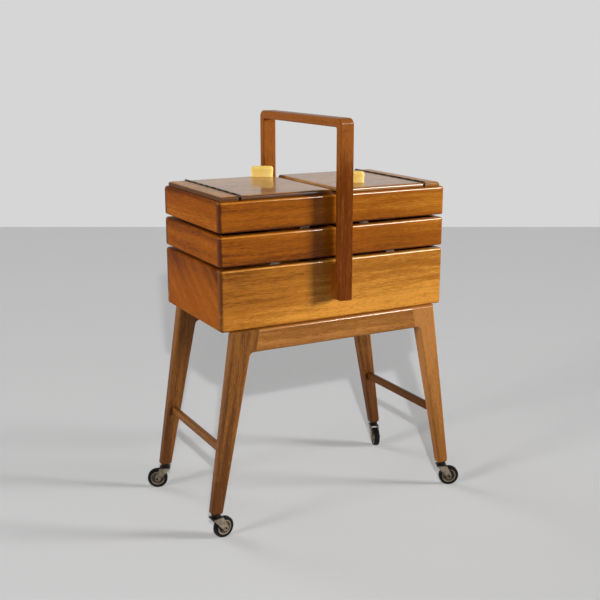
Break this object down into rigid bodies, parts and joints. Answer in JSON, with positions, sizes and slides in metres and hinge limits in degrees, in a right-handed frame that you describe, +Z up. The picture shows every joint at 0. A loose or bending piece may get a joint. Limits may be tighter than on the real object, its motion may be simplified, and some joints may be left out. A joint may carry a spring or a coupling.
{
  "type": "cantilever sewing box on legs",
  "caption": "Walnut sewing box on splayed legs with casters: tiered trays swing out to both sides on steel arms, hinged lids cover the top trays, and a fixed arched handle spans the box.",
  "frame": {"origin": "on the floor under the middle of the box", "axes": "+X along the box to its right end, +Y to the back, +Z up"},
  "size_m": [0.5676, 0.318, 0.748],
  "materials": {
    "walnut": "polished reddish-brown walnut with figured grain",
    "panel": "plain thin panel, unpolished",
    "arm_steel": "flat steel strip",
    "screw_steel": "turned steel screws",
    "hinge_brass": "darkened piano hinge",
    "knob": "butterscotch resin, softly polished",
    "fork_steel": "pressed plated steel, dulled",
    "hub_grey": "moulded wheel disc",
    "tyre": "black rubber"
  },
  "bodies": {
    "base": {"box_long_boards": "walnut", "box_end_boards": "walnut", "box_floor": "panel", "box_pivot_screws": "screw_steel", "front_rail": "walnut", "back_rail": "walnut", "front_left_leg": "walnut", "front_right_leg": "walnut", "back_left_leg": "walnut", "back_right_leg": "walnut", "side_stretchers": "walnut", "handle_posts": "walnut", "handle_grip": "walnut", "handle_screws": "screw_steel", "caster_sockets": "fork_steel"},
    "left_long_arms": {"left_long_arms": "arm_steel"},
    "left_lower_links": {"left_lower_links": "arm_steel"},
    "left_upper_links": {"left_upper_links": "arm_steel"},
    "left_lower_tray": {"left_lower_tray_long_boards": "walnut", "left_lower_tray_end_boards": "walnut", "left_lower_tray_floor": "panel", "left_lower_tray_pivot_screws": "screw_steel"},
    "left_upper_tray": {"left_upper_tray_long_boards": "walnut", "left_upper_tray_end_boards": "walnut", "left_upper_tray_floor": "panel", "left_upper_tray_pivot_screws": "screw_steel", "left_hinge_strip": "walnut", "left_hinge_strip_leaf": "hinge_brass"},
    "left_lid": {"left_lid": "walnut", "left_hinge_lid_leaf": "hinge_brass", "left_lid_knob": "knob"},
    "right_long_arms": {"right_long_arms": "arm_steel"},
    "right_lower_links": {"right_lower_links": "arm_steel"},
    "right_upper_links": {"right_upper_links": "arm_steel"},
    "right_lower_tray": {"right_lower_tray_long_boards": "walnut", "right_lower_tray_end_boards": "walnut", "right_lower_tray_floor": "panel", "right_lower_tray_pivot_screws": "screw_steel"},
    "right_upper_tray": {"right_upper_tray_long_boards": "walnut", "right_upper_tray_end_boards": "walnut", "right_upper_tray_floor": "panel", "right_upper_tray_pivot_screws": "screw_steel", "right_hinge_strip": "walnut", "right_hinge_strip_leaf": "hinge_brass"},
    "right_lid": {"right_lid": "walnut", "right_hinge_lid_leaf": "hinge_brass", "right_lid_knob": "knob"},
    "front_left_caster": {"front_left_caster_fork": "fork_steel"},
    "front_left_wheel": {"front_left_caster_hub": "hub_grey", "front_left_caster_tyre": "tyre"},
    "front_right_caster": {"front_right_caster_fork": "fork_steel"},
    "front_right_wheel": {"front_right_caster_hub": "hub_grey", "front_right_caster_tyre": "tyre"},
    "back_left_caster": {"back_left_caster_fork": "fork_steel"},
    "back_left_wheel": {"back_left_caster_hub": "hub_grey", "back_left_caster_tyre": "tyre"},
    "back_right_caster": {"back_right_caster_fork": "fork_steel"},
    "back_right_wheel": {"back_right_caster_hub": "hub_grey", "back_right_caster_tyre": "tyre"}
  },
  "joints": [
    {"name": "left_arm_swing", "type": "hinge", "parent": "base", "child": "left_long_arms", "pos_m": [-0.16, 0, 0.458], "axis": [0, -1, 0], "range_deg": [0, 90]},
    {"name": "left_lower_link_swing", "type": "hinge", "parent": "base", "child": "left_lower_links", "pos_m": [-0.103, 0, 0.458], "axis": [0, -1, 0], "range_deg": [0, 90]},
    {"name": "left_lower_tray_level", "type": "hinge", "parent": "left_long_arms", "child": "left_lower_tray", "pos_m": [-0.101, 0, 0.517], "axis": [0, -1, 0], "range_deg": [-90, 0]},
    {"name": "left_upper_tray_level", "type": "hinge", "parent": "left_long_arms", "child": "left_upper_tray", "pos_m": [-0.042, 0, 0.576], "axis": [0, -1, 0], "range_deg": [-90, 0]},
    {"name": "left_upper_link_swing", "type": "hinge", "parent": "left_lower_tray", "child": "left_upper_links", "pos_m": [-0.158, 0, 0.517], "axis": [0, -1, 0], "range_deg": [0, 90]},
    {"name": "left_lid_hinge", "type": "hinge", "parent": "left_upper_tray", "child": "left_lid", "pos_m": [-0.1905, 0, 0.6218], "axis": [0, -1, 0], "range_deg": [0, 165]},
    {"name": "right_arm_swing", "type": "hinge", "parent": "base", "child": "right_long_arms", "pos_m": [0.16, 0, 0.458], "axis": [0, 1, 0], "range_deg": [0, 90]},
    {"name": "right_lower_link_swing", "type": "hinge", "parent": "base", "child": "right_lower_links", "pos_m": [0.103, 0, 0.458], "axis": [0, 1, 0], "range_deg": [0, 90]},
    {"name": "right_lower_tray_level", "type": "hinge", "parent": "right_long_arms", "child": "right_lower_tray", "pos_m": [0.101, 0, 0.517], "axis": [0, 1, 0], "range_deg": [-90, 0]},
    {"name": "right_upper_tray_level", "type": "hinge", "parent": "right_long_arms", "child": "right_upper_tray", "pos_m": [0.042, 0, 0.576], "axis": [0, 1, 0], "range_deg": [-90, 0]},
    {"name": "right_upper_link_swing", "type": "hinge", "parent": "right_lower_tray", "child": "right_upper_links", "pos_m": [0.158, 0, 0.517], "axis": [0, 1, 0], "range_deg": [0, 90]},
    {"name": "right_lid_hinge", "type": "hinge", "parent": "right_upper_tray", "child": "right_lid", "pos_m": [0.1905, 0, 0.6218], "axis": [0, 1, 0], "range_deg": [0, 165]},
    {"name": "front_left_caster_swivel", "type": "hinge", "parent": "base", "child": "front_left_caster", "pos_m": [-0.25, -0.128, 0.05], "axis": [0, 0, 1], "continuous": true},
    {"name": "front_left_wheel_spin", "type": "hinge", "parent": "front_left_caster", "child": "front_left_wheel", "pos_m": [-0.23424, -0.12522, 0.02], "axis": [0.1736, -0.9848, 0], "continuous": true},
    {"name": "front_right_caster_swivel", "type": "hinge", "parent": "base", "child": "front_right_caster", "pos_m": [0.25, -0.128, 0.05], "axis": [0, 0, 1], "continuous": true},
    {"name": "front_right_wheel_spin", "type": "hinge", "parent": "front_right_caster", "child": "front_right_wheel", "pos_m": [0.2645, -0.13476, 0.02], "axis": [-0.4226, -0.9063, 0], "continuous": true},
    {"name": "back_left_caster_swivel", "type": "hinge", "parent": "base", "child": "back_left_caster", "pos_m": [-0.25, 0.128, 0.05], "axis": [0, 0, 1], "continuous": true},
    {"name": "back_left_wheel_spin", "type": "hinge", "parent": "back_left_caster", "child": "back_left_wheel", "pos_m": [-0.2645, 0.13476, 0.02], "axis": [0.4226, 0.9063, 0], "continuous": true},
    {"name": "back_right_caster_swivel", "type": "hinge", "parent": "base", "child": "back_right_caster", "pos_m": [0.25, 0.128, 0.05], "axis": [0, 0, 1], "continuous": true},
    {"name": "back_right_wheel_spin", "type": "hinge", "parent": "back_right_caster", "child": "back_right_wheel", "pos_m": [0.24532, 0.1127, 0.02], "axis": [-0.9563, 0.2924, 0], "continuous": true}
  ],
  "couplings": [
    {"joint": "left_lower_link_swing", "follows": "left_arm_swing", "ratio": 1},
    {"joint": "left_lower_tray_level", "follows": "left_arm_swing", "ratio": -1},
    {"joint": "left_upper_tray_level", "follows": "left_arm_swing", "ratio": -1},
    {"joint": "left_upper_link_swing", "follows": "left_arm_swing", "ratio": 1},
    {"joint": "right_lower_link_swing", "follows": "right_arm_swing", "ratio": 1},
    {"joint": "right_lower_tray_level", "follows": "right_arm_swing", "ratio": -1},
    {"joint": "right_upper_tray_level", "follows": "right_arm_swing", "ratio": -1},
    {"joint": "right_upper_link_swing", "follows": "right_arm_swing", "ratio": 1}
  ]
}
